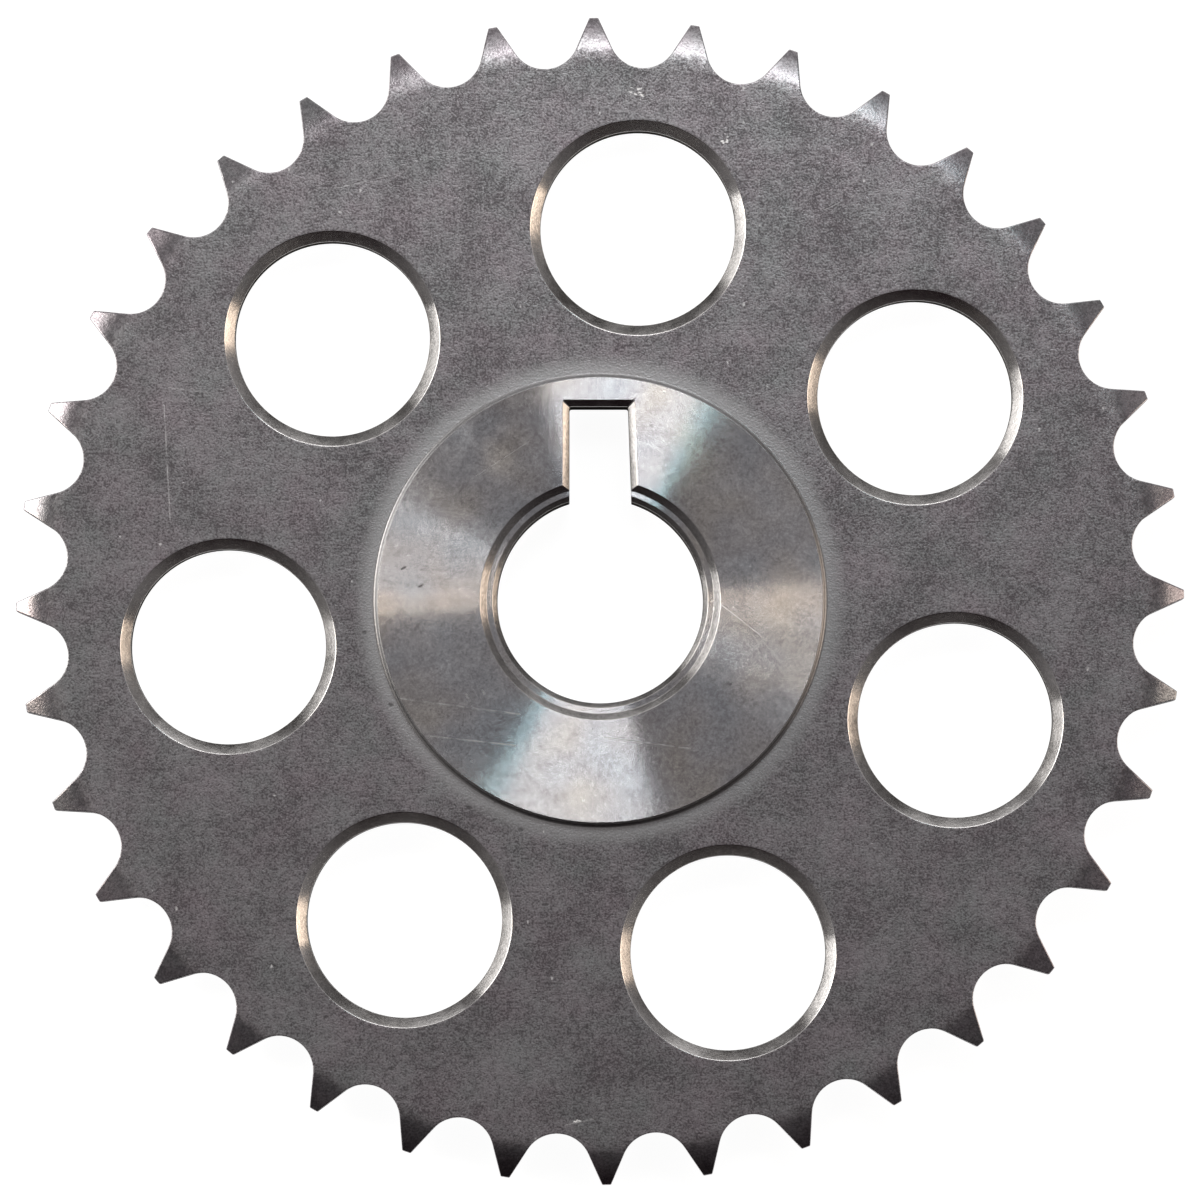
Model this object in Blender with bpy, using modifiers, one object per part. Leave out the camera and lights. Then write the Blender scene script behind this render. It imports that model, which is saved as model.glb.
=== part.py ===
"""Timing chain sprocket: one piece of steel, turned, toothed and bored.

Lengths are in metres. +Z runs along the bore and +Y points at the driving slot.
The origin is on the bore's axis, in the plane of the hub's back face, so the
sprocket lies on that face with its front up.
"""

import math

import bmesh
import bpy

MM = 0.001

# The roller chain that the teeth carry
CHAIN_PITCH = 9.525 * MM
ROLLER_DIAMETER = 6.35 * MM

# Teeth
TOOTH_COUNT = 36
TOOTH_PHASE = math.radians(0.63)
SEAT_CLEARANCE = 0.155 * MM
FLANK_ANGLE = math.radians(28.5)
TIP_WIDTH = 0.85 * MM
RELIEF_DEPTH = 1.0 * MM

# Plate between the hub and the teeth
PLATE_THICKNESS = 5.3 * MM

# Bore, with a countersink, a narrow ledge and a chamfer at the front
BORE_DIAMETER = 19.85 * MM
BORE_CHAMFER = 0.47 * MM
LEDGE_WIDTH = 0.53 * MM
COUNTERSINK = 0.66 * MM
BACK_CHAMFER = 0.5 * MM

# Driving slot, which narrows away from the bore
SLOT_DEPTH = 8.68 * MM
SLOT_LEFT = 2.97 * MM
SLOT_RIGHT_MOUTH = 2.99 * MM
SLOT_RIGHT_END = 2.68 * MM
SLOT_CORNER = 0.2 * MM
SLOT_CHAMFER = 0.62 * MM

# Hub boss, the same on both sides
HUB_WALL = 2.37 * MM
BOSS_HEIGHT = 1.3 * MM
EDGE_BREAK = 0.15 * MM
FOOT_FILLET = 0.3 * MM

# Lightening holes, between the hub's foot and the rim
HOLE_COUNT = 7
HOLE_PHASE = math.radians(84.24)
HUB_LAND = 3.8 * MM
RIM_LAND = 5.0 * MM
HOLE_CHAMFER = 1.0 * MM

# How finely round forms are cut into flats
FACETS_PER_TOOTH = 3
SEAT_FACETS = 9
HOLE_FACETS = 40
RELIEF_FACETS = 4
FILLET_FACETS = 3
CORNER_FACETS = 2

# How far a cutter runs past the surface that it cuts
OVERCUT = 1.0 * MM

# Points closer than this are one point
MERGE_DISTANCE = 0.001 * MM

# A foot fillet fills at most this share of the boss's wall
FILLET_SHARE = 0.95

# Edges sharper than this stay sharp
SMOOTH_ANGLE = math.radians(30)

# Tooth gap, worked out from the chain: u runs along the gap's centreline, v across it
TOOTH_STEP = 2 * math.pi / TOOTH_COUNT
HALF_STEP = TOOTH_STEP / 2
PITCH_RADIUS = CHAIN_PITCH / (2 * math.sin(HALF_STEP))
ROOT_RADIUS = PITCH_RADIUS - ROLLER_DIAMETER / 2
SEAT_RADIUS = ROLLER_DIAMETER / 2 + SEAT_CLEARANCE
SEAT_CENTRE = ROOT_RADIUS + SEAT_RADIUS
FLANK_FOOT_U = SEAT_CENTRE - SEAT_RADIUS * math.sin(FLANK_ANGLE)
FLANK_FOOT_V = SEAT_RADIUS * math.cos(FLANK_ANGLE)

# A flank ends where it comes within half a tip's width of its tooth's centreline
TO_TOOTH_CENTRE = FLANK_FOOT_U * math.sin(HALF_STEP) - FLANK_FOOT_V * math.cos(HALF_STEP)
FLANK_LENGTH = (TO_TOOTH_CENTRE - TIP_WIDTH / 2) / math.sin(FLANK_ANGLE - HALF_STEP)
TIP_U = FLANK_FOOT_U + FLANK_LENGTH * math.cos(FLANK_ANGLE)
TIP_V = FLANK_FOOT_V + FLANK_LENGTH * math.sin(FLANK_ANGLE)
TIP_RADIUS = math.hypot(TIP_U, TIP_V)
BLANK_RADIUS = TIP_RADIUS + OVERCUT

# The rest, worked out from the sizes above
BORE_RADIUS = BORE_DIAMETER / 2
SLOT_END = BORE_RADIUS + SLOT_DEPTH
HUB_RADIUS = SLOT_END + SLOT_CHAMFER + HUB_WALL
HUB_THICKNESS = PLATE_THICKNESS + 2 * BOSS_HEIGHT
MIDDLE = HUB_THICKNESS / 2
PLATE_BACK = BOSS_HEIGHT
PLATE_FRONT = BOSS_HEIGHT + PLATE_THICKNESS
FOOT = min(FOOT_FILLET, FILLET_SHARE * (BOSS_HEIGHT - EDGE_BREAK))
HOLE_INNER = HUB_RADIUS + FOOT + HUB_LAND
HOLE_OUTER = ROOT_RADIUS - RIM_LAND
HOLE_CIRCLE = (HOLE_INNER + HOLE_OUTER) / 2
HOLE_RIM_RADIUS = (HOLE_OUTER - HOLE_INNER) / 2
HOLE_RADIUS = HOLE_RIM_RADIUS - HOLE_CHAMFER


def arc(centre, radius, start, end, facets):
    """Points along an arc, both ends included."""
    points = []
    for i in range(facets + 1):
        angle = start + (end - start) * i / facets
        points.append((centre[0] + radius * math.cos(angle), centre[1] + radius * math.sin(angle)))
    return points


def relief_arc():
    """The curved side of a tooth, from where it leaves the plate to past the tip.

    It has the chain's pitch as its radius and starts level with the plate. Points
    are a radius and a height above the wheel's middle plane.
    """
    turn = math.acos(1 - RELIEF_DEPTH / CHAIN_PITCH)
    start_radius = TIP_RADIUS - CHAIN_PITCH * math.sin(turn)
    centre = (start_radius, PLATE_THICKNESS / 2 - CHAIN_PITCH)
    curve = arc(centre, CHAIN_PITCH, math.pi / 2, math.pi / 2 - turn, RELIEF_FACETS)
    tip_height = PLATE_THICKNESS / 2 - RELIEF_DEPTH
    past = (BLANK_RADIUS, tip_height - (BLANK_RADIUS - TIP_RADIUS) * math.tan(turn))
    return curve + [past]


def side_profile():
    """Hub edge, foot fillet, plate and tooth side, as radii and heights above the middle."""
    hub_face = HUB_THICKNESS / 2
    plate_face = PLATE_THICKNESS / 2
    edge = [(HUB_RADIUS - EDGE_BREAK, hub_face), (HUB_RADIUS, hub_face - EDGE_BREAK)]
    foot_centre = (HUB_RADIUS + FOOT, plate_face + FOOT)
    foot = arc(foot_centre, FOOT, math.pi, 1.5 * math.pi, FILLET_FACETS)
    return edge + foot + relief_arc()


def blank_profile():
    """The whole turned section, out along the front and back along the rear."""
    ledge_height = HUB_THICKNESS - COUNTERSINK
    ledge_inner = BORE_RADIUS + BORE_CHAMFER
    ledge_outer = ledge_inner + LEDGE_WIDTH
    bore_front = [
        (BORE_RADIUS, ledge_height - BORE_CHAMFER),
        (ledge_inner, ledge_height),
        (ledge_outer, ledge_height),
        (ledge_outer + COUNTERSINK, HUB_THICKNESS),
    ]
    front = [(r, MIDDLE + h) for r, h in side_profile()]
    back = [(r, MIDDLE - h) for r, h in reversed(side_profile())]
    bore_back = [(BORE_RADIUS + BACK_CHAMFER, 0.0), (BORE_RADIUS, BACK_CHAMFER)]
    return bore_front + front + back + bore_back


def tooth_outline():
    """The toothed edge: a roller seat and two straight flanks in each gap, flat tips between."""
    seat_reach = math.pi / 2 - FLANK_ANGLE
    first = math.pi + seat_reach
    last = math.pi - seat_reach
    seat = arc((SEAT_CENTRE, 0.0), SEAT_RADIUS, first, last, SEAT_FACETS)
    gap = [(TIP_U, -TIP_V)] + seat + [(TIP_U, TIP_V)]
    points = []
    for tooth in range(TOOTH_COUNT):
        turn = TOOTH_PHASE + (tooth + 0.5) * TOOTH_STEP
        for u, v in gap:
            x = u * math.cos(turn) - v * math.sin(turn)
            y = u * math.sin(turn) + v * math.cos(turn)
            points.append((x, y))
    return points


def slot_outline(grow):
    """The slot's plan, from the middle of the bore to its closed end, spread outwards by grow.

    The left wall runs straight out and the right one leans in towards the end.
    """
    taper = (SLOT_RIGHT_MOUTH - SLOT_RIGHT_END) / SLOT_DEPTH
    lean = math.atan(taper)
    inner = BORE_RADIUS / 2
    corner_y = SLOT_END + grow - SLOT_CORNER

    def right_side(y):
        return SLOT_RIGHT_END + (SLOT_END - y) * taper + grow / math.cos(lean)

    left_side = -SLOT_LEFT - grow
    right_x = right_side(corner_y) - SLOT_CORNER / math.cos(lean)
    left_x = left_side + SLOT_CORNER
    right = arc((right_x, corner_y), SLOT_CORNER, lean, math.pi / 2, CORNER_FACETS)
    left = arc((left_x, corner_y), SLOT_CORNER, math.pi / 2, math.pi, CORNER_FACETS)
    return [(right_side(inner), inner)] + right + left + [(left_side, inner)]


def turned(name, profile, facets, collection):
    """A solid of revolution about Z, from a closed section at +X."""
    mesh = bpy.data.meshes.new(name)
    vertices = [(r, 0.0, z) for r, z in profile]
    edges = [(i, (i + 1) % len(profile)) for i in range(len(profile))]
    mesh.from_pydata(vertices, edges, [])
    solid = bpy.data.objects.new(name, mesh)
    collection.objects.link(solid)
    screw = solid.modifiers.new("turn", "SCREW")
    screw.axis = "Z"
    screw.angle = 2 * math.pi
    screw.steps = facets
    screw.render_steps = facets
    screw.use_merge_vertices = True
    screw.merge_threshold = MERGE_DISTANCE
    return solid


def as_cutter(solid):
    """Shows a helper as wire and leaves it out of renders."""
    solid.hide_render = True
    solid.display_type = "WIRE"
    return solid


def toothed_prism(collection):
    """The toothed outline as a tall prism, which keeps only the teeth of the turned blank."""
    curve = bpy.data.curves.new("tooth outline", "CURVE")
    curve.dimensions = "2D"
    curve.fill_mode = "BOTH"
    curve.extrude = HUB_THICKNESS / 2 + OVERCUT
    outline = tooth_outline()
    spline = curve.splines.new("POLY")
    spline.points.add(len(outline) - 1)
    for point, (x, y) in zip(spline.points, outline):
        point.co = (x, y, 0.0, 1.0)
    spline.use_cyclic_u = True
    drawn = bpy.data.objects.new("tooth outline", curve)
    drawn.location.z = MIDDLE
    collection.objects.link(drawn)
    bpy.context.view_layer.update()

    evaluated = drawn.evaluated_get(bpy.context.evaluated_depsgraph_get())
    mesh = bpy.data.meshes.new_from_object(evaluated)
    shape = bmesh.new()
    shape.from_mesh(mesh)
    bmesh.ops.remove_doubles(shape, verts=shape.verts, dist=MERGE_DISTANCE)
    bmesh.ops.recalc_face_normals(shape, faces=shape.faces)
    shape.to_mesh(mesh)
    shape.free()
    prism = bpy.data.objects.new("toothed prism", mesh)
    prism.matrix_world = drawn.matrix_world
    collection.objects.link(prism)
    bpy.data.objects.remove(drawn)
    return as_cutter(prism)


def hole_profile():
    """A lightening hole's section, flared at both faces of the plate."""
    flare = HOLE_RIM_RADIUS + OVERCUT
    top = PLATE_FRONT + OVERCUT
    bottom = PLATE_BACK - OVERCUT
    return [
        (0.0, top),
        (flare, top),
        (HOLE_RADIUS, PLATE_FRONT - HOLE_CHAMFER),
        (HOLE_RADIUS, PLATE_BACK + HOLE_CHAMFER),
        (flare, bottom),
        (0.0, bottom),
    ]


def lightening_holes(collection):
    """Seven equal holes on one circle."""
    for hole in range(HOLE_COUNT):
        angle = HOLE_PHASE + hole * 2 * math.pi / HOLE_COUNT
        name = f"lightening hole {hole + 1}"
        cutter = turned(name, hole_profile(), HOLE_FACETS, collection)
        cutter.location.x = HOLE_CIRCLE * math.cos(angle)
        cutter.location.y = HOLE_CIRCLE * math.sin(angle)
        cutter.rotation_euler.z = angle
        as_cutter(cutter)


def slot_cutter(collection):
    """The driving slot: its plan at four heights, spread where the chamfers open it."""
    flare = SLOT_CHAMFER + OVERCUT
    levels = [
        (-OVERCUT, flare),
        (SLOT_CHAMFER, 0.0),
        (HUB_THICKNESS - SLOT_CHAMFER, 0.0),
        (HUB_THICKNESS + OVERCUT, flare),
    ]
    shape = bmesh.new()
    rings = []
    for height, grow in levels:
        ring = [shape.verts.new((x, y, height)) for x, y in slot_outline(grow)]
        edges = [shape.edges.new((ring[i - 1], ring[i])) for i in range(len(ring))]
        rings.append(edges)
    for lower, upper in zip(rings, rings[1:]):
        bmesh.ops.bridge_loops(shape, edges=lower + upper)
    bmesh.ops.edgeloop_fill(shape, edges=rings[0])
    bmesh.ops.edgeloop_fill(shape, edges=rings[-1])
    bmesh.ops.recalc_face_normals(shape, faces=shape.faces)
    mesh = bpy.data.meshes.new("driving slot")
    shape.to_mesh(mesh)
    shape.free()
    slot = bpy.data.objects.new("driving slot", mesh)
    collection.objects.link(slot)
    return as_cutter(slot)


def boolean(solid, name, operation, cutter=None, collection=None):
    """Adds one exact Boolean, with an object or a whole collection."""
    step = solid.modifiers.new(name, "BOOLEAN")
    step.operation = operation
    step.solver = "EXACT"
    if collection is None:
        step.object = cutter
    else:
        step.operand_type = "COLLECTION"
        step.collection = collection


def apply_all(solid):
    """Turns the modified shape into a plain mesh, smooth on its round faces."""
    bpy.context.view_layer.update()
    evaluated = solid.evaluated_get(bpy.context.evaluated_depsgraph_get())
    mesh = bpy.data.meshes.new_from_object(evaluated)
    mesh.name = solid.name
    solid.modifiers.clear()
    solid.data = mesh
    mesh.shade_smooth()
    mesh.set_sharp_from_angle(angle=SMOOTH_ANGLE)


def steel():
    """Bare tumbled steel, dark grey."""
    material = bpy.data.materials.new("tumbled steel")
    material.use_nodes = True
    shader = material.node_tree.nodes["Principled BSDF"]
    shader.inputs["Base Color"].default_value = (0.24, 0.235, 0.23, 1.0)
    shader.inputs["Metallic"].default_value = 1.0
    shader.inputs["Roughness"].default_value = 0.42
    return material


def new_collection(name, parent):
    collection = bpy.data.collections.new(name)
    parent.children.link(collection)
    return collection


def build():
    for old in list(bpy.data.objects):
        bpy.data.objects.remove(old)
    root = bpy.context.scene.collection
    parts = new_collection("timing chain sprocket", root)
    cutters = new_collection("cutters", root)
    hollows = new_collection("hollows", cutters)

    facets = TOOTH_COUNT * FACETS_PER_TOOTH
    sprocket = turned("sprocket", blank_profile(), facets, parts)
    sprocket.rotation_euler.z = TOOTH_PHASE + math.pi / facets
    boolean(sprocket, "teeth", "INTERSECT", cutter=toothed_prism(cutters))
    lightening_holes(hollows)
    slot_cutter(hollows)
    boolean(sprocket, "holes and slot", "DIFFERENCE", collection=hollows)
    apply_all(sprocket)
    sprocket.data.materials.clear()
    sprocket.data.materials.append(steel())


build()
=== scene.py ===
"""The timing chain sprocket as it is photographed: seen from the front, on a white table.

Lengths are in metres. +Z runs along the bore and +Y points at the driving slot.
The wheel is built about its middle plane, front half first, then mirrored and raised.
"""

import math

import bmesh
import bpy
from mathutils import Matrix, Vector


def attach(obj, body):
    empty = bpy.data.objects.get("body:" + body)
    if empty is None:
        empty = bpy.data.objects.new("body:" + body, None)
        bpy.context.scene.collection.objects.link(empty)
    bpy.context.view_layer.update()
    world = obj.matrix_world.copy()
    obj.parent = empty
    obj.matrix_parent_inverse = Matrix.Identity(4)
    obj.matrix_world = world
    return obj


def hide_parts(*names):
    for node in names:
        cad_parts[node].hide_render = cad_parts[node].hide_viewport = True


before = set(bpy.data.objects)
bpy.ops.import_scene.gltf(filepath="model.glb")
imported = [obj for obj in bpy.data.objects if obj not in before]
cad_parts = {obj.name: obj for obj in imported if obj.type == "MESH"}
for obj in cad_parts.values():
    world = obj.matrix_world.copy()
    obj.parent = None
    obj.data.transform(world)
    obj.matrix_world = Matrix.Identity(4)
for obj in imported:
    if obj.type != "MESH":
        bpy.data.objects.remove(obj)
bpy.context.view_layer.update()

MM = 0.001

# The roller chain that the teeth carry
CHAIN_PITCH = 9.525 * MM
ROLLER_DIAMETER = 6.35 * MM

# Teeth
TOOTH_COUNT = 36
TOOTH_PHASE = math.radians(0.63)
SEAT_CLEARANCE = 0.155 * MM
FLANK_ANGLE = math.radians(28.5)
TIP_WIDTH = 0.85 * MM
RELIEF_DEPTH = 1.0 * MM

# Plate, bore, driving slot and hub
PLATE_THICKNESS = 5.3 * MM
BORE_RADIUS = 9.925 * MM
BORE_CHAMFER = 0.47 * MM
LEDGE_WIDTH = 0.53 * MM
COUNTERSINK = 0.66 * MM
BACK_CHAMFER = 0.5 * MM
SLOT_DEPTH = 8.68 * MM
SLOT_LEFT = 2.97 * MM
SLOT_RIGHT_MOUTH = 2.99 * MM
SLOT_RIGHT_END = 2.68 * MM
SLOT_CORNER = 0.2 * MM
SLOT_CHAMFER = 0.62 * MM
HUB_RADIUS = 21.595 * MM
BOSS_HEIGHT = 1.3 * MM
EDGE_BREAK = 0.15 * MM
FOOT_FILLET = 0.3 * MM

# Lightening holes
HOLE_COUNT = 7
HOLE_PHASE = math.radians(84.24)
HOLE_CIRCLE = 36.082 * MM
HOLE_RADIUS = 9.387 * MM
HOLE_CHAMFER = 1.0 * MM

# How far tumbling has rounded the edges
TOOTH_ROUNDING = 0.1 * MM
TIP_CORNER = 0.14 * MM
CUT_ROUNDING = 0.07 * MM
HUB_ROUNDING = 0.1 * MM

# Flats start this far past a rounded edge, so that their shading stays flat
FLAT_MARGIN = 0.06 * MM

# A flat gets that start only where it is this many times as long
FLAT_SHARE = 4

# The narrow second slope that eases the slot's bevel, and how steeply it and the bevel's run-out rise
SLOT_EASE = 0.03 * MM
EASE_SLOPE = 0.8
RUN_OUT_SLOPE = 2.4

# How far a cutter reaches past the face that it cuts
OVERCUT = 1.0 * MM

# Strips of flat face that belong to the forms beside them
RIM_STRIP = 0.35 * MM
HOLE_STRIP = 0.2 * MM
HUB_STRIP = 1.2 * MM
FOOT_STRIP = 0.4 * MM

# How finely the round forms are cut
TURN_STEPS = 216
HOLE_STEPS = 96
SEAT_STEPS = 6
FLANK_STEPS = 7
CORNER_STEPS = 3
EDGE_STEPS = 4
FILLET_STEPS = 5
SLOT_CORNER_STEPS = 5
ROUNDING_TURN = math.radians(16)

# Points closer than this are one point
WELD = 0.001 * MM

# Edges sharper than this stay sharp
SMOOTH_ANGLE = math.radians(20)

# Worked out from the sizes above, as in the solid
TOOTH_STEP = 2 * math.pi / TOOTH_COUNT
HALF_STEP = TOOTH_STEP / 2
PITCH_RADIUS = CHAIN_PITCH / (2 * math.sin(HALF_STEP))
ROOT_RADIUS = PITCH_RADIUS - ROLLER_DIAMETER / 2
SEAT_RADIUS = ROLLER_DIAMETER / 2 + SEAT_CLEARANCE
SEAT_CENTRE = ROOT_RADIUS + SEAT_RADIUS
FLANK_FOOT_U = SEAT_CENTRE - SEAT_RADIUS * math.sin(FLANK_ANGLE)
FLANK_FOOT_V = SEAT_RADIUS * math.cos(FLANK_ANGLE)
TO_TOOTH_CENTRE = FLANK_FOOT_U * math.sin(HALF_STEP) - FLANK_FOOT_V * math.cos(HALF_STEP)
FLANK_LENGTH = (TO_TOOTH_CENTRE - TIP_WIDTH / 2) / math.sin(FLANK_ANGLE - HALF_STEP)
TIP_RADIUS = math.hypot(
    FLANK_FOOT_U + FLANK_LENGTH * math.cos(FLANK_ANGLE),
    FLANK_FOOT_V + FLANK_LENGTH * math.sin(FLANK_ANGLE),
)
RELIEF_TURN = math.acos(1 - RELIEF_DEPTH / CHAIN_PITCH)
RELIEF_RADIUS = TIP_RADIUS - CHAIN_PITCH * math.sin(RELIEF_TURN)
HALF_PLATE = PLATE_THICKNESS / 2
HALF_HUB = HALF_PLATE + BOSS_HEIGHT
HUB_THICKNESS = 2 * HALF_HUB
SLOT_END = BORE_RADIUS + SLOT_DEPTH
RIM_SEAM = ROOT_RADIUS - TOOTH_ROUNDING - RIM_STRIP
HUB_SEAM = HUB_RADIUS - HUB_STRIP
FOOT_SEAM = HUB_RADIUS + FOOT_FILLET + FOOT_STRIP


def arc(centre, radius, start, end, steps):
    """Points along an arc, both ends included."""
    points = []
    for i in range(steps + 1):
        angle = start + (end - start) * i / steps
        points.append((centre[0] + radius * math.cos(angle), centre[1] + radius * math.sin(angle)))
    return points


def softened(corners):
    """A line through corners (u, v, rounding), with each rounded corner as a short arc."""
    line = [corners[0][:2]]
    for before, corner, after in zip(corners, corners[1:], corners[2:]):
        rounding = corner[2]
        here = Vector(corner[:2])
        back = Vector(before[:2]) - here
        on = Vector(after[:2]) - here
        if rounding == 0.0:
            line.append(tuple(here))
            continue
        half = back.angle(on) / 2
        reach = rounding / math.tan(half)
        back_length = back.length
        on_length = on.length
        back.normalize()
        on.normalize()
        centre = here + (back + on).normalized() * rounding / math.sin(half)
        first = here + back * reach
        last = here + on * reach
        start = math.atan2(first.y - centre.y, first.x - centre.x)
        end = math.atan2(last.y - centre.y, last.x - centre.x)
        turn = (end - start + math.pi) % (2 * math.pi) - math.pi
        steps = max(2, round(abs(turn) / ROUNDING_TURN))
        if back_length > FLAT_SHARE * (reach + FLAT_MARGIN):
            line.append(tuple(first + back * FLAT_MARGIN))
        line.extend(arc(centre, rounding, start, start + turn, steps))
        if on_length > FLAT_SHARE * (reach + FLAT_MARGIN):
            line.append(tuple(last + on * FLAT_MARGIN))
    line.append(corners[-1][:2])
    return line


def new_piece(name):
    """An empty mesh in edit mode, ready for points to be drawn."""
    if bpy.context.object and bpy.context.object.mode != "OBJECT":
        bpy.ops.object.mode_set(mode="OBJECT")
    bpy.ops.object.select_all(action="DESELECT")
    bpy.ops.mesh.primitive_plane_add(size=MM)
    piece = bpy.context.object
    piece.name = name
    piece.data.name = name
    bpy.ops.object.mode_set(mode="EDIT")
    bpy.ops.mesh.select_mode(type="VERT")
    bpy.ops.mesh.delete(type="VERT")
    return piece


def draw(points):
    """Draws a line in edit mode, one extruded point after another."""
    bpy.ops.mesh.select_all(action="DESELECT")
    bpy.ops.mesh.primitive_plane_add(size=MM, location=points[0])
    bpy.ops.mesh.merge(type="CENTER")
    for here, there in zip(points, points[1:]):
        step = tuple(b - a for a, b in zip(here, there))
        bpy.ops.mesh.extrude_region_move(TRANSFORM_OT_translate={"value": step})


def pick(piece, kind, test):
    """Selects only the points, edges or faces of a piece in edit mode that pass a test."""
    bpy.ops.mesh.select_mode(type=kind)
    bpy.ops.mesh.select_all(action="DESELECT")
    mesh = bmesh.from_edit_mesh(piece.data)
    for element in {"VERT": mesh.verts, "EDGE": mesh.edges, "FACE": mesh.faces}[kind]:
        if test(element):
            element.select_set(True)
    mesh.select_flush_mode()
    bmesh.update_edit_mesh(piece.data)


def skin(piece, lines, closed=False):
    """Draws lines side by side and bridges each to the next."""
    for number, line in enumerate(lines):
        old = len(bmesh.from_edit_mesh(piece.data).verts)
        draw(line)
        if closed:
            pick(piece, "VERT", lambda v: v.index >= old and len(v.link_edges) == 1)
            bpy.ops.mesh.edge_face_add()
        if number:
            first = old - len(line)
            pick(piece, "EDGE", lambda e: same_line(e, first, len(line)))
            bpy.ops.mesh.bridge_edge_loops()
            bpy.ops.mesh.select_mode(type="VERT")


def same_line(edge, first, count):
    """Whether an edge runs along one of the two lines of points that start at a number."""
    a, b = edge.verts
    return a.index >= first and b.index >= first and (a.index - first) // count == (b.index - first) // count


def weld(piece):
    """Joins points that touch and turns every face outwards."""
    if piece.mode != "EDIT":
        bpy.ops.object.mode_set(mode="EDIT")
    bpy.ops.mesh.select_all(action="SELECT")
    bpy.ops.mesh.remove_doubles(threshold=WELD)
    bpy.ops.mesh.select_all(action="SELECT")
    bpy.ops.mesh.normals_make_consistent(inside=False)


def turn_piece(piece, angle):
    """Turns a piece about Z and keeps the turn in its mesh."""
    bpy.ops.object.mode_set(mode="OBJECT")
    piece.rotation_euler.z = angle
    bpy.ops.object.transform_apply(location=False, rotation=True, scale=False)


def repeat_round(count):
    """Copies the whole mesh round Z until there are count of it."""
    bpy.ops.object.mode_set(mode="EDIT")
    bpy.ops.mesh.select_all(action="SELECT")
    angle = 2 * math.pi * (count - 1) / count
    bpy.ops.mesh.spin(steps=count - 1, dupli=True, angle=angle, center=(0, 0, 0), axis=(0, 0, 1))


def apply_modifier(piece, kind, **settings):
    """Adds one modifier and applies it at once."""
    if bpy.context.object.mode != "OBJECT":
        bpy.ops.object.mode_set(mode="OBJECT")
    bpy.ops.object.select_all(action="DESELECT")
    piece.select_set(True)
    bpy.context.view_layer.objects.active = piece
    modifier = piece.modifiers.new(kind.lower(), kind)
    for name, value in settings.items():
        setattr(modifier, name, value)
    bpy.ops.object.modifier_apply(modifier=modifier.name)


def relief_height(radius):
    """The face's height above the middle plane, flat on the plate and curved down on the teeth."""
    if radius <= RELIEF_RADIUS:
        return HALF_PLATE
    return HALF_PLATE - CHAIN_PITCH + math.sqrt(CHAIN_PITCH**2 - (radius - RELIEF_RADIUS) ** 2)


def corner_centre():
    """Centre of the small round where a flank meets the tip, in the gap's own directions."""
    u = FLANK_FOOT_U - TIP_CORNER * math.sin(FLANK_ANGLE)
    v = -FLANK_FOOT_V - TIP_CORNER * math.cos(FLANK_ANGLE)
    along_u = math.cos(FLANK_ANGLE)
    along_v = -math.sin(FLANK_ANGLE)
    reach = TIP_RADIUS - TIP_CORNER
    half_b = u * along_u + v * along_v
    length = -half_b + math.sqrt(half_b**2 - (u * u + v * v - reach * reach))
    return u + length * along_u, v + length * along_v, length


def half_gap(inset):
    """From the middle of a gap to the end of a tooth's corner, moved into the metal by an inset.

    The points are in the tooth's own directions: x along its middle, y across it.
    """
    seat = SEAT_RADIUS + inset
    inner = SEAT_RADIUS + TOOTH_ROUNDING
    cos_bend = (SEAT_CENTRE**2 + inner**2 - RELIEF_RADIUS**2) / (2 * SEAT_CENTRE * inner)
    bend = math.acos(cos_bend)
    last = math.pi / 2 - FLANK_ANGLE
    angles = [bend * i / SEAT_STEPS for i in range(SEAT_STEPS)]
    angles += [bend + (last - bend) * i / SEAT_STEPS for i in range(SEAT_STEPS + 1)]
    points = [(SEAT_CENTRE - seat * math.cos(a), -seat * math.sin(a)) for a in angles]
    centre_u, centre_v, length = corner_centre()
    foot_u, foot_v = points[-1]
    for i in range(1, FLANK_STEPS + 1):
        along = length * i / FLANK_STEPS
        points.append((foot_u + along * math.cos(FLANK_ANGLE), foot_v - along * math.sin(FLANK_ANGLE)))
    start = math.pi / 2 - FLANK_ANGLE
    end = math.atan2(centre_v, centre_u)
    points += arc((centre_u, centre_v), TIP_CORNER - inset, start, end, CORNER_STEPS)[1:]
    return [
        (
            u * math.cos(HALF_STEP) - v * math.sin(HALF_STEP),
            u * math.sin(HALF_STEP) + v * math.cos(HALF_STEP),
        )
        for u, v in points
    ]


def across(radius, half_width):
    """Points from a tooth's middle to its side at one radius, the last two close together."""
    margin = half_width - FLAT_MARGIN / radius
    angles = [0.0, margin / 3, margin * 2 / 3, margin, half_width]
    height = relief_height(radius)
    return [(radius * math.cos(a), radius * math.sin(a), height) for a in angles]


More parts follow.
